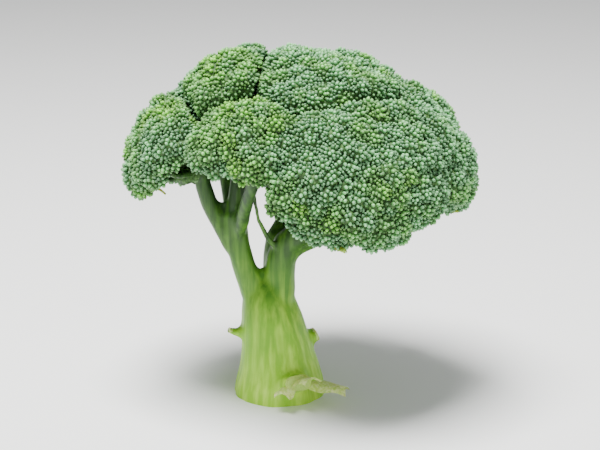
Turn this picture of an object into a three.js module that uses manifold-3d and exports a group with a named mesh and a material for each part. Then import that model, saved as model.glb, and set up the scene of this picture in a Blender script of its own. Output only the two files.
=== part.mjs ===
// A head of broccoli, trimmed for sale: a thick main stem, cut flat across its foot, forks into three
// limbs. Each limb carries branches, and each branch opens into one floret. The florets press together
// into a domed crown. The stumps of trimmed leaves are left on the stem.
//
// Millimetres, +Z up. The head stands on its cut foot, whose centre is the origin. -Y is its front.

import * as THREE from 'three';
import { mergeVertices } from 'three/addons/utils/BufferGeometryUtils.js';
import Module from 'manifold-3d';

const wasm = await Module();
wasm.setup();

// ---------------------------------------------------------------------------
// Driving dimensions
// ---------------------------------------------------------------------------

const CLEARANCE = 0.3; // left between pieces that touch
const UP = new THREE.Vector3(0, 0, 1);

const STEM = {
  footRadius: 22, // at the cut
  neckRadius: 13.2, // where it is thinnest
  forkRadius: 15, // where it swells under the fork
  height: 54, // from the cut to the top of the fork
  nose: 0.55, // share of its height above which it rounds over
  lean: -8, // how far the fork stands to the left of the foot
  ribs: 5, // ridges that run down from the limbs
  ribHeight: 0.8,
};

const CROWN = {
  width: 156, // along X
  depth: 138, // along Y
  rise: 61, // from its widest level to its top
  level: 99, // height of its widest level above the foot
  offset: 9, // how far its middle stands to the right of the foot
};

const FLORET = {
  dome: 0.56, // height of its dome, as a share of its half width
  skirt: 0.7, // depth from its rim to its neck, as a share of its half width
  droop: 0.6, // how far its neck hangs down from square under its dome, as a share of the skirt
  collar: 1.5, // how far its neck stands out around its branch
  waviness: 0.03, // how far its outline waves in and out, as a share of its half width
  sides: 20,
};

const LIMB = {
  footRadius: 8, // where the thickest limb leaves the stem
  tipRadius: 7, // where its last branches leave it
  sunk: 20, // how far below the fork its foot starts
  footSpread: 4, // how far its foot stands out from the stem's axis
  kneeSpread: 11, // how far its knee stands out from it
  knee: 16, // height of its knee above the fork
  reach: 0.45, // share of the way from its knee to its florets' necks at which it ends
};

// girth is how thick a limb is beside the thickest.
const LIMBS = [
  { name: 'left', girth: 0.78 },
  { name: 'right', girth: 1 },
  { name: 'back', girth: 0.85 },
];

const BRANCH = {
  footRadius: 4.6, // for a floret of the usual width
  tipRadius: 4.2,
  seat: 5, // how deep its tip is seated in its floret's neck
  usualWidth: 62,
};

// Each floret's place on the crown: turn is the compass angle about the crown's middle, from +X towards
// +Y, and tilt how far down the crown it stands, from 0 at the top to 90 at the widest level, both in
// degrees. lift is how far it stands proud of the crown, stretch is how much longer than wide it grows
// around the crown, and leaves is how far up its limb its branch leaves.
const FLORETS = [
  { name: 'left', turn: 188, tilt: 56, width: 58, lift: 1, stretch: 1, limb: 'left', leaves: 0.45 },
  { name: 'upper_left', turn: 188, tilt: 25, width: 62, lift: 3.5, stretch: 1, limb: 'left', leaves: 1 },
  { name: 'front_left', turn: 244, tilt: 46, width: 46, lift: 0, stretch: 1.2, limb: 'left', leaves: 0.75 },
  { name: 'front', turn: 301, tilt: 60, width: 72, lift: 0, stretch: 1.32, limb: 'right', leaves: 0.8 },
  { name: 'right', turn: 358, tilt: 60, width: 68, lift: 0, stretch: 1, limb: 'right', leaves: 0.6 },
  { name: 'top', turn: 325, tilt: 11, width: 82, lift: 0, stretch: 1, limb: 'right', leaves: 1 },
  { name: 'back_right', turn: 46, tilt: 56, width: 66, lift: 0, stretch: 1, limb: 'back', leaves: 0.8 },
  { name: 'back', turn: 98, tilt: 44, width: 72, lift: 1, stretch: 1, limb: 'back', leaves: 1 },
  { name: 'low_back', turn: 88, tilt: 82, width: 54, lift: 0, stretch: 1, limb: 'back', leaves: 0.5 },
  { name: 'back_left', turn: 142, tilt: 58, width: 64, lift: 0, stretch: 1, limb: 'left', leaves: 0.7 },
];

// The stumps of trimmed leaves: turn as for the florets, height above the foot, and size.
const LEAF_STUMPS = [
  { name: 'upper', turn: 192, height: 29, radius: 2.4, length: 5.5 },
  { name: 'lower', turn: 292, height: 10, radius: 5.4, length: 6 },
  { name: 'right', turn: 20, height: 24, radius: 3.6, length: 3.5 },
  { name: 'rear', turn: 108, height: 17, radius: 4.4, length: 4 },
];

// ---------------------------------------------------------------------------
// Materials
// ---------------------------------------------------------------------------

const stemSkin = new THREE.MeshStandardMaterial({ color: '#a2c05f', roughness: 0.5, metalness: 0 });
const limbSkin = new THREE.MeshStandardMaterial({ color: '#7c9c4a', roughness: 0.5, metalness: 0 });
const budSkin = new THREE.MeshStandardMaterial({ color: '#708d68', roughness: 0.8, metalness: 0 });
const leafFlesh = new THREE.MeshStandardMaterial({ color: '#c5dea0', roughness: 0.6, metalness: 0 });

// ---------------------------------------------------------------------------
// Solids
// ---------------------------------------------------------------------------

/** A closed three.js geometry as a solid that can be cut. */
function solidOf(geometry) {
  const bare = geometry.clone();
  bare.deleteAttribute('normal');
  bare.deleteAttribute('uv');
  const merged = mergeVertices(bare, 1e-3);
  return new wasm.Manifold(new wasm.Mesh({
    numProp: 3,
    vertProperties: merged.attributes.position.array,
    triVerts: new Uint32Array(merged.index.array),
  }));
}

/** The largest of a cut solid's bodies: where a branch is cut out of its limb, crumbs can be left behind. */
function largestBody(solid) {
  return solid.decompose().reduce((best, body) => (body.volume() > best.volume() ? body : best));
}

/** A named mesh of a solid. */
function meshOf(name, solid, material) {
  const cut = solid.getMesh();
  const geometry = new THREE.BufferGeometry();
  geometry.setAttribute('position', new THREE.BufferAttribute(cut.vertProperties, 3));
  geometry.setIndex(new THREE.BufferAttribute(cut.triVerts, 1));
  geometry.computeVertexNormals();
  const mesh = new THREE.Mesh(geometry, material);
  mesh.name = name;
  return mesh;
}

/**
 * A round stalk along a curve: a lathe turned about Y, whose rings are then carried along the curve.
 * radiusAt(share, angle) gives its radius at a share of its length. extra makes it fatter and longer.
 */
function stalkSolid(curve, radiusAt, sides, rings, extra = 0) {
  const chord = curve.getPoint(1).sub(curve.getPoint(0)).normalize();
  const level = Math.abs(chord.z) < 0.5 ? UP : new THREE.Vector3(1, 0, 0);
  const profile = [new THREE.Vector2(0, 0)];
  for (let i = 0; i <= rings; i += 1) profile.push(new THREE.Vector2(1, i / rings));
  profile.push(new THREE.Vector2(0, 1));
  const geometry = new THREE.LatheGeometry(profile, sides);
  const position = geometry.attributes.position;
  for (let i = 0; i < position.count; i += 1) {
    const share = position.getY(i);
    const x = position.getX(i);
    const z = position.getZ(i);
    const along = curve.getTangentAt(share);
    const side = level.clone().addScaledVector(along, -along.dot(level)).normalize();
    const front = new THREE.Vector3().crossVectors(side, along);
    const radius = radiusAt(share, Math.atan2(z, x)) + extra;
    const past = Math.round(share) === share ? extra * Math.sign(share - 0.5) : 0;
    const point = curve.getPointAt(share)
      .addScaledVector(along, past)
      .addScaledVector(side, x * radius)
      .addScaledVector(front, z * radius);
    position.setXYZ(i, point.x, point.y, point.z);
  }
  return solidOf(geometry);
}

/** Cuts neighbours out of a solid and keeps the one body that is left of it. */
function clearOf(solid, neighbours) {
  return largestBody(neighbours.reduce((rest, neighbour) => rest.subtract(neighbour), solid));
}

/** A unit vector from a compass turn about +Z and a tilt away from it, in degrees. */
function heading(turn, tilt) {
  return new THREE.Vector3().setFromSphericalCoords(
    1,
    THREE.MathUtils.degToRad(tilt),
    THREE.MathUtils.degToRad(turn + 90),
  ).applyAxisAngle(new THREE.Vector3(1, 0, 0), Math.PI / 2);
}

// ---------------------------------------------------------------------------
// Main stem
// ---------------------------------------------------------------------------

const fork = new THREE.Vector3(STEM.lean, 0, STEM.height);

const stemCurve = new THREE.QuadraticBezierCurve3(
  new THREE.Vector3(0, 0, 0),
  new THREE.Vector3(0, 0, STEM.height / 2),
  fork,
);

/** Radius of the stem: it narrows, swells under the fork and rounds over, and its ribs fade at the foot. */
function stemRadius(share, angle) {
  const foot = (STEM.footRadius - STEM.neckRadius) * (1 - share) ** 2;
  const swell = (STEM.forkRadius - STEM.neckRadius) * share ** 3;
  const rib = STEM.ribHeight * share * Math.cos(STEM.ribs * angle);
  const round = Math.sqrt(1 - 0.75 * Math.max(0, (share - STEM.nose) / (1 - STEM.nose)) ** 2);
  return (STEM.neckRadius + foot + swell + rib) * round;
}

function stemSolid(extra) {
  return stalkSolid(stemCurve, stemRadius, 30, 12, extra);
}

// ---------------------------------------------------------------------------
// Florets: where each one stands on the crown
// ---------------------------------------------------------------------------

const crownMiddle = new THREE.Vector3(CROWN.offset, 0, CROWN.level);
const crownHalf = new THREE.Vector3(CROWN.width / 2, CROWN.depth / 2, CROWN.rise);

for (const floret of FLORETS) {
  const onSphere = heading(floret.turn, floret.tilt);
  floret.half = floret.width / 2;
  floret.facing = onSphere.clone().divide(crownHalf).normalize();
  floret.middle = onSphere.clone().multiply(crownHalf).add(crownMiddle)
    .addScaledVector(floret.facing, floret.lift - floret.half * FLORET.dome);
  floret.skirt = floret.half * FLORET.skirt;
  floret.sag = floret.facing.clone().multiplyScalar(floret.facing.z).sub(UP)
    .multiplyScalar(floret.skirt * FLORET.droop);
  floret.neck = floret.middle.clone().addScaledVector(floret.facing, -floret.skirt).add(floret.sag);
  floret.rise = floret.facing.clone().multiplyScalar(floret.skirt)
    .addScaledVector(floret.sag, -2)
    .normalize();
}

/** Outline of a floret, turned about Y: a neck, a hollow flank, a round rim and a dome. */
function floretProfile(half) {
  const dome = half * FLORET.dome;
  const skirt = half * FLORET.skirt;
  const neck = (BRANCH.tipRadius * 2 * half) / BRANCH.usualWidth + FLORET.collar;
  const flank = neck + half * 0.06;
  const outline = new THREE.Path();
  outline.moveTo(0, -skirt);
  outline.lineTo(neck, -skirt);
  outline.bezierCurveTo(flank, -skirt * 0.3, half * 0.6, -skirt * 0.28, half * 0.9, -skirt * 0.2);
  outline.quadraticCurveTo(half, -skirt * 0.17, half, 0);
  outline.absellipse(0, 0, half, dome, 0, Math.PI / 2, false, 0);
  return outline.getPoints(3);
}

/**
 * One floret before its neighbours are cut out of it. Its outline gently waves, its underside sags, and
 * where it is stretched it bends with the crown.
 */
function floretSolid(floret, index) {
  const geometry = new THREE.LatheGeometry(floretProfile(floret.half), FLORET.sides);
  const stand = new THREE.Quaternion().setFromUnitVectors(new THREE.Vector3(0, 1, 0), floret.facing);
  const around = new THREE.Vector3().crossVectors(UP, floret.facing).normalize();
  const position = geometry.attributes.position;
  for (let i = 0; i < position.count; i += 1) {
    const angle = Math.atan2(position.getZ(i), position.getX(i));
    const wave = 1 + FLORET.waviness * (Math.cos(3 * angle + index) + Math.sin(5 * angle + 2 * index));
    const depth = Math.max(0, -position.getY(i)) / floret.skirt;
    const point = new THREE.Vector3(position.getX(i) * wave, position.getY(i), position.getZ(i) * wave);
    point.applyQuaternion(stand);
    const stretched = point.dot(around) * (floret.stretch - 1) * (1 - depth);
    const bent = point.dot(around) * stretched / (CROWN.width / 2);
    point.addScaledVector(around, stretched)
      .addScaledVector(floret.facing, -bent)
      .add(floret.middle)
      .addScaledVector(floret.sag, depth ** 2);
    position.setXYZ(i, point.x, point.y, point.z);
  }
  return solidOf(geometry);
}

/** The half of space on a floret's side of the flat seam between it and a neighbour. */
function sideOfSeam(floret, neighbour) {
  const between = neighbour.middle.clone().sub(floret.middle);
  const distance = between.length();
  const share = (distance ** 2 + floret.half ** 2 - neighbour.half ** 2) / (2 * distance ** 2);
  const size = 4 * CROWN.width;
  const block = new THREE.BoxGeometry(size, size, size);
  block.translate(0, -size / 2 - CLEARANCE / 2, 0);
  between.normalize();
  block.applyQuaternion(new THREE.Quaternion().setFromUnitVectors(new THREE.Vector3(0, 1, 0), between));
  const seam = floret.middle.clone().addScaledVector(between, share * distance);
  block.translate(seam.x, seam.y, seam.z);
  return solidOf(block);
}

function meetsAtSeam(floret, other) {
  const reach = floret.half * floret.stretch + other.half * other.stretch;
  return floret !== other && floret.middle.distanceTo(other.middle) < reach * (1 + 2 * FLORET.waviness);
}

// ---------------------------------------------------------------------------
// Limbs and branches
// ---------------------------------------------------------------------------

/** A limb leaves the stem under the fork, spreads to its knee, and rises towards its florets' necks. */
function limbCurve(name) {
  const own = FLORETS.filter((floret) => floret.limb === name);
  const middle = new THREE.Vector3();
  own.forEach((floret) => middle.addScaledVector(floret.neck, 1 / own.length));
  const outward = middle.clone().sub(fork).setZ(0).normalize();
  const foot = stemCurve.getPointAt(1 - LIMB.sunk / STEM.height).addScaledVector(outward, LIMB.footSpread);
  const knee = fork.clone().addScaledVector(outward, LIMB.kneeSpread).addScaledVector(UP, LIMB.knee);
  return new THREE.CatmullRomCurve3([foot, knee, knee.clone().lerp(middle, LIMB.reach)]);
}

function limbSolid(limb, extra) {
  return stalkSolid(
    limb.curve,
    (share) => THREE.MathUtils.lerp(LIMB.footRadius, LIMB.tipRadius, Math.min(1, 1.6 * share)) * limb.girth,
    14,
    7,
    extra,
  );
}

const limbs = LIMBS.map((limb) => ({ ...limb, curve: limbCurve(limb.name) }));

/** A branch leaves its limb along the limb, and bends over to rise into its floret's neck. */
function branchCurve(floret) {
  const limb = limbs.find(({ name }) => name === floret.limb);
  const foot = limb.curve.getPointAt(Math.max(0, floret.leaves - 0.12));
  const along = limb.curve.getTangentAt(floret.leaves);
  const tip = floret.neck.clone().addScaledVector(floret.rise, BRANCH.seat);
  const third = foot.distanceTo(tip) / 3;
  return new THREE.CubicBezierCurve3(
    foot,
    foot.clone().addScaledVector(along, third),
    tip.clone().addScaledVector(floret.rise, -third),
    tip,
  );
}

function branchSolid(floret, extra) {
  const girth = floret.width / BRANCH.usualWidth;
  return stalkSolid(
    branchCurve(floret),
    (share) => THREE.MathUtils.lerp(BRANCH.footRadius, BRANCH.tipRadius, share) * girth,
    10,
    8,
    extra,
  );
}

// ---------------------------------------------------------------------------
// Leaf stumps
// ---------------------------------------------------------------------------

/** What a trimmed leaf leaves behind: a short stalk that clasps the stem, rises a little, and is cut off. */
function stumpSolid(stump) {
  const outward = heading(stump.turn, 90);
  const share = stump.height / STEM.height;
  const skin = stemRadius(share, 0);
  const axis = stemCurve.getPointAt(share);
  const root = axis.clone().addScaledVector(outward, skin - stump.radius);
  const tip = axis.clone().addScaledVector(outward, skin + stump.length)
    .addScaledVector(UP, stump.length * 0.4);
  const bend = root.clone().lerp(tip, 0.5).addScaledVector(UP, -stump.length * 0.15);
  const curve = new THREE.QuadraticBezierCurve3(root, bend, tip);
  return stalkSolid(
    curve,
    (at, angle) => stump.radius * (1.25 - 0.35 * at) * (1 - 0.25 * Math.cos(2 * angle)),
    12,
    4,
  );
}

// ---------------------------------------------------------------------------
// Assembly
// ---------------------------------------------------------------------------

const head = new THREE.Group();
const taken = []; // each stalk so far with its clearance, for the next pieces to be cut clear of

head.add(meshOf('main_stem', stemSolid(0), stemSkin));
taken.push(stemSolid(CLEARANCE));

for (const limb of limbs) {
  head.add(meshOf(`limb_${limb.name}`, clearOf(limbSolid(limb, 0), taken), limbSkin));
  taken.push(limbSolid(limb, CLEARANCE));
}

for (const floret of FLORETS) {
  head.add(meshOf(`branch_${floret.name}`, clearOf(branchSolid(floret, 0), taken), limbSkin));
  taken.push(branchSolid(floret, CLEARANCE));
}

FLORETS.forEach((floret, index) => {
  const trimmed = FLORETS.filter((other) => meetsAtSeam(floret, other))
    .map((other) => sideOfSeam(floret, other))
    .reduce((rest, side) => rest.intersect(side), floretSolid(floret, index));
  head.add(meshOf(`floret_${floret.name}`, clearOf(trimmed, taken), budSkin));
});

for (const stump of LEAF_STUMPS) {
  head.add(meshOf(`leaf_stump_${stump.name}`, clearOf(stumpSolid(stump), taken), leafFlesh));
}

export default head;
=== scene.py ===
"""A head of broccoli on its cut stem: one grown stalk, and the florets that crowd into its crown."""

import math
import random

import bmesh
import bpy
import numpy as np
from mathutils import Matrix, Vector, noise
from mathutils.bvhtree import BVHTree
from mathutils.kdtree import KDTree


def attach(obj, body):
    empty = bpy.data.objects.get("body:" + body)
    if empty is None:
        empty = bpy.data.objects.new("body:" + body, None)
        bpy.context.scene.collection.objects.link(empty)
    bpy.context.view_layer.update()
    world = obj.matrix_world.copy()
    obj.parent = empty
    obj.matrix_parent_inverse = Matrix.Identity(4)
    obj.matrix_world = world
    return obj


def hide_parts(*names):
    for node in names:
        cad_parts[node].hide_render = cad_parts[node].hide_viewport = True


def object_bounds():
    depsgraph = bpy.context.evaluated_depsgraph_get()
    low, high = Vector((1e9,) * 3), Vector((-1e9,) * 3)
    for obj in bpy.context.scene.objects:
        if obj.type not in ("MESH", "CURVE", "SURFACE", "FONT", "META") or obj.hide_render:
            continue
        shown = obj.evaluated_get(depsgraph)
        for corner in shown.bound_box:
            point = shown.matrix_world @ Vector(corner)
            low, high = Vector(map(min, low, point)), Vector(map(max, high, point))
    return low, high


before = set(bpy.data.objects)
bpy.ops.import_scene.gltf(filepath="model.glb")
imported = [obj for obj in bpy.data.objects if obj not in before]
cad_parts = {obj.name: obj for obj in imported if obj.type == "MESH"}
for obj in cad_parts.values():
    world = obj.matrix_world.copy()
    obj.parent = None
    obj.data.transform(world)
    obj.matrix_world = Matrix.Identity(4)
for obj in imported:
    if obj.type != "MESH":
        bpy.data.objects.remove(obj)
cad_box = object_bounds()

# ---------------------------------------------------------------------------
# Where the florets sit
#
# Each floret is a rounded clump of buds on the end of one branch. Its neck is where the branch enters, and
# its rise is the way the branch points there. The whole crown bulges away from its heart.
# ---------------------------------------------------------------------------

MM = 0.001
WELD = 0.001 * MM

florets = sorted(name[len("floret_"):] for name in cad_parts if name.startswith("floret_"))


def merged(name):
    """A bmesh of a CAD node with its loose triangles joined."""
    bm = bmesh.new()
    bm.from_mesh(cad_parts[name].data)
    bmesh.ops.remove_doubles(bm, verts=bm.verts, dist=WELD)
    bm.normal_update()
    return bm


def middle_of(verts):
    """The mean place of some vertices."""
    return sum((vert.co for vert in verts), Vector()) / len(verts)


HEART_LIFT = 8 * MM  # height of the crown's heart above the florets' lowest point
SEATED = 1.2 * MM  # a floret's corners that lie this close to its branch are its neck

necks = {}
rises = {}
corners = []
for name in florets:
    branch = merged("branch_" + name)
    beside = BVHTree.FromBMesh(branch)
    body = merged("floret_" + name)
    corners += [vert.co.copy() for vert in body.verts]
    necks[name] = middle_of([vert for vert in body.verts if beside.find_nearest(vert.co)[3] < SEATED])
    rises[name] = (necks[name] - middle_of(branch.verts)).normalized()
    branch.free()
    body.free()
low = Vector([min(corner[axis] for corner in corners) for axis in range(3)])
high = Vector([max(corner[axis] for corner in corners) for axis in range(3)])
heart = (low + high) / 2
heart.z = low.z + HEART_LIFT


def outwardness(place, normal):
    """1 where a surface faces straight out of the crown, 0 edge on, and -1 where it faces its heart."""
    return normal.dot((place - heart).normalized())


# ---------------------------------------------------------------------------
# The stalk
#
# The main stem, its three limbs and their branches grow as one piece, so they are made as one skin that
# flows over every fork. At its tip each branch splits into a fan of thin twigs, which carry its floret's
# rim. The knife leaves a flat face at the foot and on each leaf stump.
# ---------------------------------------------------------------------------

GROW = 1.4 * MM  # the solids are joined this much too fat and thinned again, which webs every fork
SKIN_VOXEL = 0.8 * MM
WEB_SMOOTHING = 10  # rounds of smoothing while the stalk is fat
SKIN_SMOOTHING = 4  # and when it is thin
RIDGES = ((9 * MM, 0.8 * MM), (3.4 * MM, 0.2 * MM))  # width and height of the ridges that run up the stalk
RIDGE_LENGTH = 80 * MM
PARING = 4 * MM  # how much of the foot and of each stump the knife takes off
RIND = 0.7 * MM  # thickness of the green rind around a cut
STEP_DOWN = 0.3 * RIND  # how far the flesh of a cut lies below the rind around it
DRIED = 1.2 * MM  # how far down from its cut a leaf stump has dried pale
FOOT_REACH = 60 * MM  # how far from the foot's middle the knife cuts
STUMP_REACH = 2.5 * MM  # and how far past the corners of a stump's end
FOOT_LEVEL = 0.1 * MM  # below this, a corner of the stem is one of its foot's
# A thin shoot stands in the gap between the limbs. Its points and radii are in millimetres.
SHOOT = ((3, -4, 64), (0, -6, 70), (-5, -8, 77), (-9, -10, 86), (-11, -13, 99))
SHOOT_RADII = (1.9, 1.6, 1.3, 1.2, 1.3)
TWIG_SPACING = 8 * MM  # between the ends of the twigs under a floret
TWIG_SPOTS_PER_MM2 = 0.3  # from which those ends are picked
UNDERSIDE = -0.3  # how far a face has to turn from the crown's outside for a twig to end there
TWIG_ROOT = 2.2 * MM  # radius of a twig where it leaves its branch
TWIG_TIP = 1.1 * MM
TWIG_SIDES = 7
TWIG_STEPS = 7
TWIG_SUNK = 3 * MM  # how far a twig's end is sunk into its floret
TWIG_ROOTS = (-4, 1)  # in millimetres along its branch, how far from the tip a twig can start
TWIG_LEAVES = 0.4  # share of its length that a twig runs on along the branch
TWIG_ARRIVES = (0.1, 0.3)  # and shares that its end bends back, along the branch and straight


def over_faces(bm, per_mm2, draw):
    """Random (place, normal) pairs all over a bmesh of triangles."""
    pairs = []
    for face in bm.faces:
        wanted = face.calc_area() / MM ** 2 * per_mm2
        a, b, c = face.verts
        for _ in range(int(wanted) + (draw.random() < wanted % 1)):
            u = draw.random()
            v = draw.random()
            if u + v > 1:
                u, v = 1 - u, 1 - v
            place = a.co + (b.co - a.co) * u + (c.co - a.co) * v
            normal = a.normal * (1 - u - v) + b.normal * u + c.normal * v
            pairs.append((place, normal.normalized()))
    return pairs


def spread(pairs, spacing, draw):
    """The pairs that are left when each, in a random order, keeps its spacing from those kept before."""
    kept = []
    cells = {}
    for place, normal in draw.sample(pairs, len(pairs)):
        cell = [math.floor(c / spacing) for c in place]
        near = (
            other
            for dx in (-1, 0, 1) for dy in (-1, 0, 1) for dz in (-1, 0, 1)
            for other in cells.get((cell[0] + dx, cell[1] + dy, cell[2] + dz), ())
        )
        if all((place - other).length >= spacing for other in near):
            cells.setdefault(tuple(cell), []).append(place)
            kept.append((place, normal))
    return kept


def join(bm, other):
    """Adds another bmesh to a bmesh, and frees it."""
    mesh = bpy.data.meshes.new("part")
    other.to_mesh(mesh)
    other.free()
    bm.from_mesh(mesh)
    bpy.data.meshes.remove(mesh)


def tube(bm, points, radii, sides):
    """Adds a closed round tube through points to a bmesh."""
    rings = []
    last = len(points) - 1
    for i, (point, radius) in enumerate(zip(points, radii)):
        along = points[min(i + 1, last)] - points[max(i - 1, 0)]
        turn = along.to_track_quat("Z", "Y").to_matrix().to_4x4()
        ring = bmesh.ops.create_circle(
            bm, cap_ends=i in (0, last), segments=sides, radius=radius,
            matrix=Matrix.Translation(point) @ turn,
        )["verts"]
        rings.append({edge for vert in ring for edge in vert.link_edges})
    for lower, upper in zip(rings, rings[1:]):
        bmesh.ops.bridge_loops(bm, edges=[edge for edge in lower | upper if len(edge.link_faces) < 2])


def evaluated(bm, *modifiers):
    """What is left of a bmesh when modifiers, given as (type, settings), have worked on it."""
    mesh = bpy.data.meshes.new("work")
    bm.to_mesh(mesh)
    bm.free()
    work = bpy.data.objects.new("work", mesh)
    bpy.context.scene.collection.objects.link(work)
    for kind, settings in modifiers:
        modifier = work.modifiers.new(kind, kind)
        for setting, value in settings.items():
            setattr(modifier, setting, value)
    shown = work.evaluated_get(bpy.context.evaluated_depsgraph_get())
    result = bmesh.new()
    result.from_mesh(shown.data)
    bpy.data.objects.remove(work)
    bpy.data.meshes.remove(mesh)
    result.normal_update()
    return result


def end_face(bm):
    """The middle and the normal of a stump's flat end, and the corners that lie on it."""
    alike = {}
    for face in bm.faces:
        alike.setdefault(tuple(round(part, 2) for part in face.normal), []).append(face)
    end = max(alike.values(), key=lambda faces: sum(face.calc_area() for face in faces))
    corners = list(dict.fromkeys(vert for face in end for vert in face.verts))
    return middle_of(corners), end[0].normal.copy(), corners


def slice_off(bm, place, normal, reach):
    """Cuts off what lies beyond a plane, within reach of a place, and closes the cut with flat flesh."""
    near = [face for face in bm.faces if (face.calc_center_median() - place).length < reach]
    around = {part for face in near for part in (*face.verts, *face.edges)}
    cut = bmesh.ops.bisect_plane(
        bm, geom=[*near, *around], plane_co=place, plane_no=normal, clear_outer=True,
    )["geom_cut"]
    rim = [part for part in cut if isinstance(part, bmesh.types.BMEdge)]
    for edge in rim:
        edge.smooth = False
    flesh = bmesh.ops.holes_fill(bm, edges=rim, sides=0)["faces"]
    bmesh.ops.inset_region(bm, faces=flesh, thickness=RIND, depth=-STEP_DOWN, use_even_offset=True)
    for face in flesh:
        face.material_index = 1


chance = random.Random(11)
skin = bmesh.new()
cuts = [(Vector(), Vector((0, 0, -1)), FOOT_REACH)]
for name in sorted(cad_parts):
    if name.startswith("floret_"):
        continue
    solid = merged(name)
    if name.startswith("leaf_stump_"):
        place, normal, corners = end_face(solid)
        cuts.append((place, normal, max((vert.co - place).length for vert in corners) + STUMP_REACH))
        for vert in corners:
            vert.co += normal * PARING
    if name == "main_stem":
        for vert in solid.verts:
            if vert.co.z < FOOT_LEVEL:
                vert.co.z -= PARING
    for vert in solid.verts:
        vert.co += vert.normal * GROW
    join(skin, solid)
skin = evaluated(
    skin,
    ("REMESH", {"mode": "VOXEL", "voxel_size": SKIN_VOXEL}),
    ("SMOOTH", {"factor": 0.5, "iterations": WEB_SMOOTHING}),
)
for vert in skin.verts:
    vert.co -= vert.normal * GROW

shoot = bmesh.new()
tube(shoot, [Vector(point) * MM for point in SHOOT], [radius * MM for radius in SHOOT_RADII], TWIG_SIDES)
join(skin, shoot)
for name in florets:
    body = merged("floret_" + name)
    under = [
        (place, normal) for place, normal in over_faces(body, TWIG_SPOTS_PER_MM2, chance)
        if outwardness(place, normal) < UNDERSIDE and (place - necks[name]).length > TWIG_SPACING
    ]
    body.free()
    fan = bmesh.new()
    for place, normal in spread(under, TWIG_SPACING, chance):
        end = place - normal * TWIG_SUNK
        root = necks[name] + rises[name] * chance.uniform(*TWIG_ROOTS) * MM
        across = end - root
        leaving = root + rises[name] * across.length * TWIG_LEAVES
        arriving = end - rises[name] * across.length * TWIG_ARRIVES[0] - across * TWIG_ARRIVES[1]
        points = []
        for step in range(TWIG_STEPS + 1):
            t = step / TWIG_STEPS
            points.append(
                root * (1 - t) ** 3 + leaving * 3 * t * (1 - t) ** 2
                + arriving * 3 * t ** 2 * (1 - t) + end * t ** 3
            )
        radii = [TWIG_ROOT + (TWIG_TIP - TWIG_ROOT) * step / TWIG_STEPS for step in range(TWIG_STEPS + 1)]
        tube(fan, points, radii, TWIG_SIDES)
    join(skin, fan)

skin = evaluated(
    skin,
    ("REMESH", {"mode": "VOXEL", "voxel_size": SKIN_VOXEL}),
    ("SMOOTH", {"factor": 0.5, "iterations": SKIN_SMOOTHING}),
)
for vert in skin.verts:
    x, y, z = vert.co
    for width, height in RIDGES:
        vert.co += vert.normal * height * noise.noise(Vector((x / width, y / width, z / RIDGE_LENGTH)))
for place, normal, reach in cuts:
    slice_off(skin, place, normal, reach)
for place, normal, reach in cuts[1:]:
    for face in skin.faces:
        from_cut = face.calc_center_median() - place
        if from_cut.length < reach and from_cut.dot(normal) > -DRIED:
            face.material_index = 1


def linear(code):
    """A colour given as sRGB hex digits, in linear values."""
    parts = [int(code[i:i + 2], 16) / 255 for i in (1, 3, 5)]
    return [part / 12.92 if part <= 0.04045 else ((part + 0.055) / 1.055) ** 2.4 for part in parts] + [1]


def add_node(material, kind, inputs=(), **settings):
    """Adds a node to a material. inputs are (input, value or output to link) pairs."""
    node = material.node_tree.nodes.new("ShaderNode" + kind)
    for setting, value in settings.items():
        if setting == "ramp":
            while len(node.color_ramp.elements) < len(value):
                node.color_ramp.elements.new(1)
            for element, (position, code) in zip(node.color_ramp.elements, value):
                element.position = position
                element.color = linear(code)
        else:
            setattr(node, setting, value)
    for key, value in inputs:
        if isinstance(value, bpy.types.NodeSocket):
            material.node_tree.links.new(value, node.inputs[key])
        else:
            node.inputs[key].default_value = value
    return node


def new_material(name):
    """An empty node material, with its Principled shader and its object coordinates."""
    material = bpy.data.materials.new(name)
    material.use_nodes = True
    shader = material.node_tree.nodes["Principled BSDF"]
    place = add_node(material, "TexCoord").outputs["Object"]
    return material, shader, place


# Living stem skin: a thin green rind under natural wax. It is pale and yellowish at the old foot, turns a
# deeper green towards the crown, and its darkest greens there are painted shade under the crown. It is
# streaked lengthwise by the fibres under it.
STREAK_WIDTH = 3 * MM  # drawn about twice as wide as real bundles of fibres, so that it shows
STREAK_LENGTH = 45 * MM
BLOTCH = 14 * MM  # patches of paler and deeper green, by which the skin looks grown
AGE_AND_SHADE_HEIGHT = 105 * MM  # height over which the stem's colour changes
MOTTLE = 0.35  # how far a patch shifts the colour, as a share of that height
PORE = 0.5 * MM  # drawn about three times as coarse as the real breathing pores, so that it shows

stem_skin, shader, place = new_material("waxy stem rind")
height = add_node(stem_skin, "SeparateXYZ", [(0, place)]).outputs["Z"]
along = add_node(stem_skin, "Mapping", [
    ("Vector", place), ("Scale", (1 / STREAK_WIDTH, 1 / STREAK_WIDTH, 1 / STREAK_LENGTH)),
]).outputs[0]
streaks = add_node(stem_skin, "TexNoise", [("Vector", along), ("Scale", 1), ("Detail", 3)]).outputs["Fac"]
blotches = add_node(stem_skin, "TexNoise", [
    ("Vector", place), ("Scale", 1 / BLOTCH), ("Detail", 3),
]).outputs["Fac"]
# The height from the foot up to the crown, for the colour's change with age and for the painted shade under
# the crown.
age_and_shade = add_node(stem_skin, "MapRange", [
    ("Value", height), ("From Min", 0.0), ("From Max", AGE_AND_SHADE_HEIGHT),
]).outputs[0]
shift = add_node(stem_skin, "Math", [
    (0, blotches), (1, MOTTLE), (2, -MOTTLE / 2),
], operation="MULTIPLY_ADD").outputs[0]
aged_and_shaded = add_node(stem_skin, "Math", [(0, age_and_shade), (1, shift)], operation="ADD").outputs[0]
# Both ramps darken strongly towards the crown: partly the deeper green of younger skin, partly painted shade
# under the crown.
deep = add_node(stem_skin, "ValToRGB", [("Fac", aged_and_shaded)], ramp=[
    (0.0, "#9cd824"), (0.3, "#7cb81e"), (0.52, "#467a1a"), (0.75, "#284a16"), (1.0, "#203e18"),
]).outputs[0]
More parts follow.
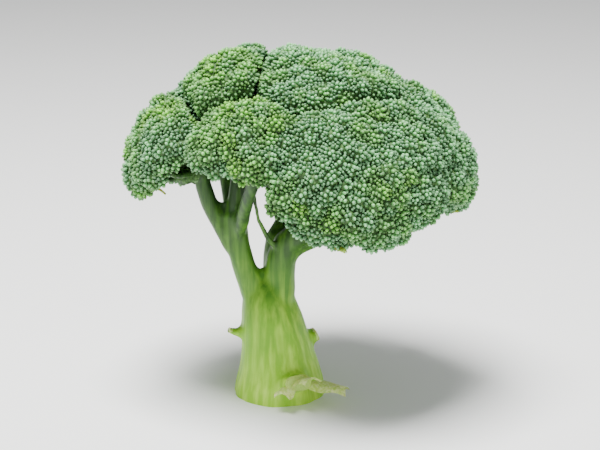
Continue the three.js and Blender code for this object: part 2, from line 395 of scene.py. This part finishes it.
pale = add_node(stem_skin, "ValToRGB", [("Fac", aged_and_shaded)], ramp=[
    (0.0, "#cef65a"), (0.3, "#acdc3c"), (0.6, "#5e902a"), (1.0, "#3a6422"),
]).outputs[0]
streaked = add_node(stem_skin, "MapRange", [
    ("Value", streaks), ("From Min", 0.42), ("From Max", 0.68),
]).outputs[0]
colour = add_node(stem_skin, "Mix", [
    ("Factor", streaked), (6, deep), (7, pale),
], data_type="RGBA").outputs[2]
pores = add_node(stem_skin, "TexNoise", [
    ("Vector", place), ("Scale", 1 / PORE), ("Detail", 2),
]).outputs["Fac"]
relief = add_node(stem_skin, "Math", [(0, streaks), (1, pores)], operation="ADD").outputs[0]
bump = add_node(stem_skin, "Bump", [
    ("Strength", 0.25), ("Distance", 0.4 * MM), ("Height", relief),
]).outputs[0]
stem_skin.node_tree.links.new(colour, shader.inputs["Base Color"])
stem_skin.node_tree.links.new(bump, shader.inputs["Normal"])
shader.inputs["Roughness"].default_value = 0.46
shader.inputs["IOR"].default_value = 1.38
shader.inputs["Subsurface Weight"].default_value = 0.12
shader.inputs["Subsurface Radius"].default_value = (0.8, 1.0, 0.3)
shader.inputs["Subsurface Scale"].default_value = 2 * MM

# Cut stem flesh: wet, pale and fibrous, nearly white in the pith and greener under the rind.
FIBRE = 0.9 * MM  # drawn about twice as coarse as real fibres, so that it shows
CLOUD = 6 * MM  # wetter and drier parts of the flesh
PITH_TO_RIND = 22 * MM  # the foot's radius

cut_flesh, shader, place = new_material("cut stem flesh")
fibres = add_node(cut_flesh, "TexVoronoi", [("Vector", place), ("Scale", 1 / FIBRE)]).outputs["Distance"]
clouds = add_node(cut_flesh, "TexNoise", [
    ("Vector", place), ("Scale", 1 / CLOUD), ("Detail", 3),
]).outputs["Fac"]
flat = add_node(cut_flesh, "VectorMath", [(0, place), (1, (1, 1, 0))], operation="MULTIPLY").outputs[0]
from_axis = add_node(cut_flesh, "VectorMath", [(0, flat)], operation="LENGTH").outputs["Value"]
green = add_node(cut_flesh, "MapRange", [
    ("Value", from_axis), ("From Max", PITH_TO_RIND), ("To Max", 0.55),
]).outputs[0]
green = add_node(cut_flesh, "Math", [(0, clouds), (1, 0.4), (2, green)], operation="MULTIPLY_ADD").outputs[0]
green = add_node(cut_flesh, "Math", [(0, fibres), (1, 0.2), (2, green)], operation="MULTIPLY_ADD").outputs[0]
colour = add_node(cut_flesh, "ValToRGB", [("Fac", green)], ramp=[
    (0.2, "#e6efb2"), (0.55, "#d2e488"), (0.8, "#c0da6e"), (1.0, "#a2c84a"),
]).outputs[0]
bump = add_node(cut_flesh, "Bump", [
    ("Strength", 0.3), ("Distance", 0.2 * MM), ("Height", fibres),
]).outputs[0]
cut_flesh.node_tree.links.new(colour, shader.inputs["Base Color"])
cut_flesh.node_tree.links.new(bump, shader.inputs["Normal"])
shader.inputs["Roughness"].default_value = 0.38
shader.inputs["Subsurface Weight"].default_value = 0.15
shader.inputs["Subsurface Scale"].default_value = 2 * MM


def finished(bm, name, *materials):
    """A smooth-shaded object of a bmesh, in the scene, on the frame's one body."""
    for face in bm.faces:
        face.smooth = True
    mesh = bpy.data.meshes.new(name)
    bm.to_mesh(mesh)
    bm.free()
    for material in materials:
        mesh.materials.append(material)
    piece = bpy.data.objects.new(name, mesh)
    bpy.context.scene.collection.objects.link(piece)
    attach(piece, "root")
    return piece


stalk = finished(skin, "stalk", stem_skin, cut_flesh)
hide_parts(*sorted(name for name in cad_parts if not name.startswith("floret_")))

# ---------------------------------------------------------------------------
# The florets
#
# A floret is a clump of thousands of closed flower buds. They stand in tight domed clusters a few
# millimetres across, the clusters crowd into lobes, and flesh painted dark green as shade shows in the
# creases between.
# ---------------------------------------------------------------------------

CORE_VOXEL = 1.0 * MM
CORE_SMOOTHING = 20
CORE_INSET = 1.6 * MM  # how far the flesh lies inside the floret's outline
CREASE_WIDTH = 11 * MM  # florets bend away from each other where they meet
CREASE_DEPTH = 3.5  # in millimetres
SEAMS = {  # in millimetres: deeper clefts, and below zero where florets have grown almost into one
    ("left", "upper_left"): 7,
    ("front_left", "upper_left"): 5,
    ("front_left", "left"): -1.5,
    ("front", "top"): 5,
    ("front", "front_left"): -3,
    ("front", "right"): -1,
    ("right", "top"): 1,
    ("top", "upper_left"): 3,
}
CREASE_FOOT = 0.45  # a crease is closed this far up from the neck, as a share of the floret's reach
CREASE_FADE = 0.3  # and fully open this much further up
# How much younger, and so yellower, the clusters of some florets are.
YOUNGER = {"left": 0.6, "upper_left": 0.4, "front_left": 0.6}
HOLLOW = 5 * MM  # how far the underside is raised, so that the twigs stand clear of it
HOLLOWING = -1.5  # how fast that comes in as a face turns under
SWELL_FACE = -0.6  # lobes and clusters start to swell where a face turns this far out
SWELL_FADE = 0.4  # and are full this much further on
CLEAR = 0.5  # and this far from the next floret, as a share of a crease's width
WALL_INSET = 0.2  # share of the inset that is left where two florets touch
LOBE_SPACING = 19 * MM
LOBE_HEIGHT = 3 * MM
CLUSTER_SPACING = 5.6 * MM
CLUSTER_HEIGHT = 2.4 * MM
BUD_SPACING = 1.3 * MM
BUD_WIDTH = 1.75 * MM
BUD_LENGTH = 2.6 * MM
BUD_SUNK = 0.8 * MM  # how deep a bud stands in the flesh
BUD_SWAY = 0.2  # how much buds lean at random
SPOTS_PER_MM2 = 0.8  # from which the middles of lobes and clusters are picked
BUD_SPOTS_PER_MM2 = 3.2
WALL = 1.4 * MM  # florets that come this close press together, and no bud grows between them
BUDS_FACE = -0.35  # how far outwards a face has to turn to bear buds
BARE_NECK = 0.45  # share of a floret's reach, around its neck, that bears none
DOME_REACH = 0.62  # radius of a dome, as a share of the spacing of domes


def bud_shape():
    """One closed bud, one unit wide and long, a little narrower towards its tip."""
    bm = bmesh.new()
    bmesh.ops.create_uvsphere(bm, u_segments=7, v_segments=4, radius=0.5)
    for vert in bm.verts:
        taper = 1.0 - 0.25 * vert.co.z
        vert.co.x *= taper
        vert.co.y *= taper
        vert.co.z += 0.5
    bmesh.ops.triangulate(bm, faces=bm.faces)
    return bm


def planted(shape, stances, name, material, facts):
    """An object with a copy of a shape at each (place, turn, size) stance, and three facts about each."""
    verts = np.array([vert.co for vert in shape.verts])
    faces = np.array([[vert.index for vert in face.verts] for face in shape.faces])
    turns = np.array([turn.to_matrix() for _, turn, _ in stances])
    places = np.array([place for place, _, _ in stances])
    sizes = np.array([size for _, _, size in stances])
    spots = np.einsum("nij,nkj->nki", turns, verts[None] * sizes[:, None]) + places[:, None]
    corners = faces[None] + len(verts) * np.arange(len(stances))[:, None, None]
    mesh = bpy.data.meshes.new(name)
    mesh.vertices.add(spots.size // 3)
    mesh.vertices.foreach_set("co", spots.ravel())
    mesh.loops.add(corners.size)
    mesh.loops.foreach_set("vertex_index", corners.ravel())
    mesh.polygons.add(corners.size // 3)
    mesh.polygons.foreach_set("loop_start", np.arange(0, corners.size, 3))
    mesh.polygons.foreach_set("use_smooth", np.ones(corners.size // 3, bool))
    # The first mark is a corner's height on its shape, from which the buds' material paints shade at each
    # bud's foot.
    marks = np.ones((len(stances), len(verts), 4), np.float32)
    marks[:, :, 0] = verts[None, :, 2]
    marks[:, :, 1:] = np.array(facts)[:, None]
    mesh.attributes.new("bud", "FLOAT_COLOR", "POINT").data.foreach_set("color", marks.ravel())
    mesh.update()
    mesh.validate()
    mesh.materials.append(material)
    piece = bpy.data.objects.new(name, mesh)
    bpy.context.scene.collection.objects.link(piece)
    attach(piece, "root")
    return piece


# Closed flower buds: matt sepals under a bluish bloom of wax. Each bud is dark at its foot, painted shade
# where it stands among the others, and pale at its tip. Buds low in a cluster are darker and those on its
# crest lighter, painted shade and light. Some clusters are younger, and more yellow.
PATCH = 26 * MM  # stretches of the crown with more young clusters
GRAIN = 0.6 * MM  # drawn twice as coarse as the real grain of a sepal, so that it shows

bud_skin, shader, place = new_material("flower bud sepals")
marks = add_node(bud_skin, "Attribute", attribute_name="bud").outputs
parts = add_node(bud_skin, "SeparateColor", [(0, marks["Color"])]).outputs
# Along each bud from foot to tip: the dark foot is painted shade among the other buds.
blue = add_node(bud_skin, "ValToRGB", [("Fac", parts[0])], ramp=[
    (0.15, "#24501e"), (0.5, "#4a8a4a"), (0.85, "#76b478"), (1.0, "#9cd49c"),
]).outputs[0]
yellow = add_node(bud_skin, "ValToRGB", [("Fac", parts[0])], ramp=[
    (0.15, "#28560e"), (0.5, "#4c921e"), (0.85, "#76bc3e"), (1.0, "#a2dc62"),
]).outputs[0]
patches = add_node(bud_skin, "TexNoise", [
    ("Vector", place), ("Scale", 1 / PATCH), ("Detail", 2),
]).outputs["Fac"]
young = add_node(bud_skin, "Math", [
    (0, parts[2]), (1, 0.25), (2, patches),
], operation="MULTIPLY_ADD").outputs[0]
youth = add_node(bud_skin, "MapRange", [("Value", young), ("From Min", 0.6), ("From Max", 0.9)]).outputs[0]
colour = add_node(bud_skin, "Mix", [("Factor", youth), (6, blue), (7, yellow)], data_type="RGBA").outputs[2]
# Brightness: a random tone for each bud, plus painted shade that darkens buds low in a cluster and lightens
# those on its crest.
light = add_node(bud_skin, "Math", [(0, parts[1]), (1, 0.3), (2, 0.42)], operation="MULTIPLY_ADD").outputs[0]
light = add_node(bud_skin, "Math", [
    (0, marks["Alpha"]), (1, 0.75), (2, light),
], operation="MULTIPLY_ADD").outputs[0]
colour = add_node(bud_skin, "HueSaturation", [("Value", light), ("Color", colour)]).outputs[0]
grain = add_node(bud_skin, "TexNoise", [
    ("Vector", place), ("Scale", 1 / GRAIN), ("Detail", 1),
]).outputs["Fac"]
bump = add_node(bud_skin, "Bump", [("Strength", 0.3), ("Distance", 0.15 * MM), ("Height", grain)]).outputs[0]
bud_skin.node_tree.links.new(colour, shader.inputs["Base Color"])
bud_skin.node_tree.links.new(bump, shader.inputs["Normal"])
shader.inputs["Roughness"].default_value = 0.6
shader.inputs["Sheen Weight"].default_value = 0.05
shader.inputs["Sheen Roughness"].default_value = 0.5

# The flesh under the buds: the ends of many short bud stalks, in deep shade, which their dark green colour
# paints.
BUD_STALK = 1.6 * MM  # about the true width

floret_flesh_painted_shade, shader, place = new_material("floret flesh in painted shade")
stems = add_node(floret_flesh_painted_shade, "TexVoronoi", [
    ("Vector", place), ("Scale", 1 / BUD_STALK),
]).outputs["Distance"]
colour = add_node(floret_flesh_painted_shade, "ValToRGB", [("Fac", stems)], ramp=[
    (0.0, "#55803a"), (0.5, "#3f662c"), (1.0, "#26421c"),
]).outputs[0]
bump = add_node(floret_flesh_painted_shade, "Bump", [
    ("Strength", 0.6), ("Distance", 0.8 * MM), ("Height", stems),
], invert=True).outputs[0]
floret_flesh_painted_shade.node_tree.links.new(colour, shader.inputs["Base Color"])
floret_flesh_painted_shade.node_tree.links.new(bump, shader.inputs["Normal"])
shader.inputs["Roughness"].default_value = 0.7


def tree_of(pairs):
    """A search tree of the pairs' places."""
    tree = KDTree(len(pairs))
    for i, (place, _) in enumerate(pairs):
        tree.insert(place, i)
    tree.balance()
    return tree


def held(value):
    """A value, held between 0 and 1."""
    return min(1, max(0, value))


def dome(distance, spacing):
    """Height, from 0 to 1, at a distance from the middle of a dome that meets its neighbours in creases."""
    return math.sqrt(1 - min(1, distance / (DOME_REACH * spacing)) ** 2)


def gaps(place, name):
    """The florets near a place on a floret, and how far away they are."""
    others = [other for other in solids if other != name]
    near = ((other, solids[other].find_nearest(place, CREASE_WIDTH)[3]) for other in others)
    return [(other, gap) for other, gap in near if gap is not None]


def bears_buds(place, normal, name, reach):
    """Whether buds grow at a place: not underneath, not near the neck, and not where two florets touch."""
    return (
        outwardness(place, normal) > BUDS_FACE
        and (place - necks[name]).length > BARE_NECK * reach
        and all(gap > WALL for _, gap in gaps(place, name))
    )


solids = {}
for name in florets:
    body = merged("floret_" + name)
    solids[name] = BVHTree.FromBMesh(body)
    body.free()

shape = bud_shape()
for name in florets:
    core = evaluated(
        merged("floret_" + name),
        ("REMESH", {"mode": "VOXEL", "voxel_size": CORE_VOXEL}),
        ("SMOOTH", {"factor": 0.5, "iterations": CORE_SMOOTHING}),
        ("TRIANGULATE", {}),
    )
    reach = max((vert.co - necks[name]).length for vert in core.verts)
    rooms = []
    for vert in core.verts:
        sink = 0
        room = 1
        for other, gap in gaps(vert.co, name):
            depth = SEAMS.get(tuple(sorted((name, other))), CREASE_DEPTH) * MM
            sink += depth * (1 - gap / CREASE_WIDTH) ** 2
            room = min(room, gap / CREASE_WIDTH)
        arm = vert.co - necks[name]
        vert.co -= arm.normalized() * sink * held((arm.length / reach - CREASE_FOOT) / CREASE_FADE)
        rooms.append(room)
    core.normal_update()

    spots = [spot for spot in over_faces(core, SPOTS_PER_MM2, chance) if bears_buds(*spot, name, reach)]
    lobes = tree_of(spread(spots, LOBE_SPACING, chance))
    middles = spread(spots, CLUSTER_SPACING, chance)
    clusters = tree_of(middles)
    for vert, room in zip(core.verts, rooms):
        facing = outwardness(vert.co, vert.normal)
        swell = LOBE_HEIGHT * dome(lobes.find(vert.co)[2], LOBE_SPACING)
        swell += CLUSTER_HEIGHT * dome(clusters.find(vert.co)[2], CLUSTER_SPACING)
        swell *= held(room / CLEAR) * held((facing - SWELL_FACE) / SWELL_FADE)
        hollow = HOLLOW * held(HOLLOWING * facing)
        vert.co += vert.normal * (swell - CORE_INSET * held(WALL_INSET + room / CLEAR) - hollow)
    core.normal_update()
    tops = tree_of([
        (place + normal * (LOBE_HEIGHT * dome(lobes.find(place)[2], LOBE_SPACING) + CLUSTER_HEIGHT), normal)
        for place, normal in middles
    ])
    ages = [chance.random() + YOUNGER.get(name, 0) for _ in middles]

    stances = []
    facts = []
    sites = [spot for spot in over_faces(core, BUD_SPOTS_PER_MM2, chance) if bears_buds(*spot, name, reach)]
    for place, normal in spread(sites, BUD_SPACING, chance):
        _, cluster, away = tops.find(place)
        crest = dome(away, CLUSTER_SPACING)
        sway = Vector([chance.uniform(-BUD_SWAY, BUD_SWAY) for _ in range(3)])
        turn = (normal + sway).to_track_quat("Z", "Y")
        girth = chance.uniform(0.8, 1.0) + 0.2 * crest
        size = (BUD_WIDTH * girth, BUD_WIDTH * girth, BUD_LENGTH * chance.uniform(0.9, 1.1))
        stances.append((place - normal * BUD_SUNK, turn, size))
        # A random tone, the cluster's age, and how high the bud stands on its cluster, which the material
        # turns into painted shade.
        facts.append((chance.random(), ages[cluster], crest ** 2))
    flesh = finished(core, "flesh_" + name, floret_flesh_painted_shade)
    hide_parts("floret_" + name)
    buds = planted(shape, stances, "buds_" + name, bud_skin, facts)
shape.free()

# ---------------------------------------------------------------------------
# Bracts
#
# Small yellow-green leaves that grow from under the florets, between their branches. Only their tips show
# past the buds, in the creases and along the rims.
# ---------------------------------------------------------------------------

BRACTS = (  # a point near which each leaf comes out of the crown, its length and its width
    ((-17, -40, 124), 13, 4.5),
    ((8, -45, 91), 11, 4),
    ((26, -68, 84), 12, 4.5),
    ((-50, -12, 98), 9, 3.5),
    ((76, -20, 90), 10, 4),
    ((60, 45, 92), 11, 4),
    ((14, 62, 118), 10, 4),
    ((-40, 48, 96), 12, 4.5),
    ((20, 66, 76), 10, 4),
)
BLADE_COLUMNS = 4
BLADE_ROWS = 8
BLADE_SUNK = 0.6  # share of a leaf that is hidden among the buds
BLADE_CUP = 0.25  # how far a leaf's edges curl up, as a share of its width
BLADE_CURL = 0.3  # how far its tip bends over, as a share of its length
BLADE_THICKNESS = 0.5 * MM
BLADE_FOOT = 0.12  # a leaf's outline is part of a sine's half wave: where that part starts
BLADE_SPAN = 0.86  # and how much of the half wave it is
BLADE_FULLNESS = 0.7  # below 1, the outline has fuller sides than a sine
RUFFLES = 3  # half waves along a ruffled edge
BRACT_LIFT = 0.5  # how much bracts turn up as they grow outwards
BRACT_SWAY = 0.4  # and how much they stray


def blade(length, width, point=1, ruffle=0):
    """
    A leaf that starts at the origin, grows along Z and bends over towards -Y. point brings its tip to a
    point, and less of it leaves the tip blunt. ruffle is how far its edges wave.
    """
    bm = bmesh.new()
    bmesh.ops.create_grid(bm, x_segments=BLADE_COLUMNS, y_segments=BLADE_ROWS, size=0.5)
    for vert in bm.verts:
        across, up = vert.co.x * 2, vert.co.y + 0.5
        half = width / 2 * math.sin(math.pi * (BLADE_FOOT + BLADE_SPAN * point * up)) ** BLADE_FULLNESS
        curl = BLADE_CURL * length * up ** 2 + BLADE_CUP * width * across ** 2
        curl += ruffle * across * math.sin(RUFFLES * math.pi * up)
        vert.co = Vector((across * half, -curl, up * length))
    bmesh.ops.solidify(bm, geom=bm.faces, thickness=BLADE_THICKNESS)
    bmesh.ops.recalc_face_normals(bm, faces=bm.faces)
    return bm


def set_leaf(bm, leaf, root, along):
    """Adds a leaf to a bmesh, so that it grows from its root along a direction."""
    turn = along.to_track_quat("Z", "Y").to_matrix().to_4x4()
    bmesh.ops.transform(leaf, matrix=Matrix.Translation(root) @ turn, verts=leaf.verts)
    join(bm, leaf)


# Young leaf blade: thin, yellow-green and a little waxy, mottled by its fine veins.
VEIN = 1.5 * MM  # drawn about twice as coarse as real veins, so that it shows

leaf_blade, shader, place = new_material("young bract leaf")
veins = add_node(leaf_blade, "TexNoise", [
    ("Vector", place), ("Scale", 1 / VEIN), ("Detail", 3),
]).outputs["Fac"]
colour = add_node(leaf_blade, "ValToRGB", [("Fac", veins)], ramp=[
    (0.3, "#82ae34"), (0.5, "#a2c84a"), (0.75, "#c8dc7a"),
]).outputs[0]
bump = add_node(leaf_blade, "Bump", [
    ("Strength", 0.3), ("Distance", 0.2 * MM), ("Height", veins),
]).outputs[0]
leaf_blade.node_tree.links.new(colour, shader.inputs["Base Color"])
leaf_blade.node_tree.links.new(bump, shader.inputs["Normal"])
shader.inputs["Roughness"].default_value = 0.5
shader.inputs["Subsurface Weight"].default_value = 0.1
shader.inputs["Subsurface Scale"].default_value = 1 * MM

leaves = bmesh.new()
for target, length, width in BRACTS:
    nearest = [solid.find_nearest(Vector(target) * MM) for solid in solids.values()]
    place = min(nearest, key=lambda found: found[3])[0]
    outward = (place - heart).normalized()
    strays = [chance.uniform(-BRACT_SWAY, BRACT_SWAY) for _ in range(2)]
    along = (outward + Vector((*strays, BRACT_LIFT))).normalized()
    set_leaf(leaves, blade(length * MM, width * MM), place - along * length * MM * BLADE_SUNK, along)
bracts = finished(leaves, "bracts", leaf_blade)

# ---------------------------------------------------------------------------
# Torn leaf
#
# The lowest leaf was torn away before its stalk was cut back to a flat stump. Pale, thick shreds of it
# still stand around the stump, ruffled along their edges and blunt where they tore.
# ---------------------------------------------------------------------------

SHREDS = (  # how far each leans right and up from the stump, and its length and width in millimetres
    (1.3, 0.1, 21, 11),
    (0.2, 0.5, 14, 11),
    (-0.8, 0.0, 12, 9),
)
SHRED_SUNK = 6 * MM  # how far behind the stump's end a shred starts
SHRED_APART = 2 * MM  # how far apart the shreds start, for the ways they lean
SHRED_RUFFLE = 0.8 * MM
SHRED_POINT = 0.7

# Inner leaf stalk: thick, moist and almost without green, with fine fibres.
STALK_FIBRE = 1.2 * MM  # drawn about twice as coarse as real fibres, so that it shows

torn_stalk, shader, place = new_material("pale torn leaf stalk")
fibres = add_node(torn_stalk, "TexNoise", [
    ("Vector", place), ("Scale", 1 / STALK_FIBRE), ("Detail", 3),
]).outputs["Fac"]
colour = add_node(torn_stalk, "ValToRGB", [("Fac", fibres)], ramp=[
    (0.3, "#b4d458"), (0.5, "#d2e684"), (0.75, "#eaf4b4"),
]).outputs[0]
bump = add_node(torn_stalk, "Bump", [
    ("Strength", 0.4), ("Distance", 0.3 * MM), ("Height", fibres),
]).outputs[0]
torn_stalk.node_tree.links.new(colour, shader.inputs["Base Color"])
torn_stalk.node_tree.links.new(bump, shader.inputs["Normal"])
shader.inputs["Roughness"].default_value = 0.45
shader.inputs["Subsurface Weight"].default_value = 0.15
shader.inputs["Subsurface Scale"].default_value = 1 * MM

stump = merged("leaf_stump_lower")
end, outward, _ = end_face(stump)
stump.free()
up = Vector((0, 0, 1))
right = up.cross(outward).normalized()
shreds = bmesh.new()
for sideways, upward, length, width in SHREDS:
    lean = right * sideways + up * upward
    root = end - outward * SHRED_SUNK + lean * SHRED_APART
    shred = blade(length * MM, width * MM, SHRED_POINT, SHRED_RUFFLE)
    set_leaf(shreds, shred, root, (outward + lean).normalized())
torn_leaf = finished(shreds, "torn_leaf", torn_stalk)

# ---------------------------------------------------------------------------
# Floor, light and camera
#
# The head stands on pale paper, under one soft light from above and a weak one from the right. The camera
# looks at its front from a little above. Places here are in metres.
# ---------------------------------------------------------------------------

FLOOR_HALF = 4
LIT_POINT = (0, 0, 0.1)
RISE = math.radians(16)  # how far the camera stands above the head's own level
DISTANCE = 0.8

floor = bmesh.new()
bmesh.ops.create_grid(floor, x_segments=1, y_segments=1, size=FLOOR_HALF)
mesh = bpy.data.meshes.new("floor")
floor.to_mesh(mesh)
floor.free()
floor = bpy.data.objects.new("floor", mesh)
bpy.context.scene.collection.objects.link(floor)
paper, shader, _ = new_material("pale studio paper")
shader.inputs["Base Color"].default_value = linear("#f8f8f6")
shader.inputs["Roughness"].default_value = 0.9
mesh.materials.append(paper)

world = bpy.data.worlds.new("studio")
world.use_nodes = True
world.node_tree.nodes["Background"].inputs["Color"].default_value = linear("#f4f6f8")
world.node_tree.nodes["Background"].inputs["Strength"].default_value = 0.45
bpy.context.scene.world = world


def softbox(name, place, size, power):
    """A square area light that points at the crown."""
    lamp = bpy.data.lights.new(name, "AREA")
    lamp.size = size
    lamp.energy = power
    holder = bpy.data.objects.new(name, lamp)
    bpy.context.scene.collection.objects.link(holder)
    holder.location = place
    holder.rotation_euler = (Vector(LIT_POINT) - Vector(place)).to_track_quat("-Z", "Y").to_euler()


softbox("key", (-0.15, -0.15, 1.1), 0.5, 36)
softbox("fill", (0.9, -0.9, 0.5), 0.9, 3)

low, high = cad_box
middle = (Vector(low) + Vector(high)) / 2
camera = bpy.data.cameras.new("camera")
camera.lens = 105
holder = bpy.data.objects.new("camera", camera)
bpy.context.scene.collection.objects.link(holder)
holder.location = middle + Vector((0, -math.cos(RISE), math.sin(RISE))) * DISTANCE
holder.rotation_euler = (middle - holder.location).to_track_quat("-Z", "Y").to_euler()
bpy.context.scene.camera = holder
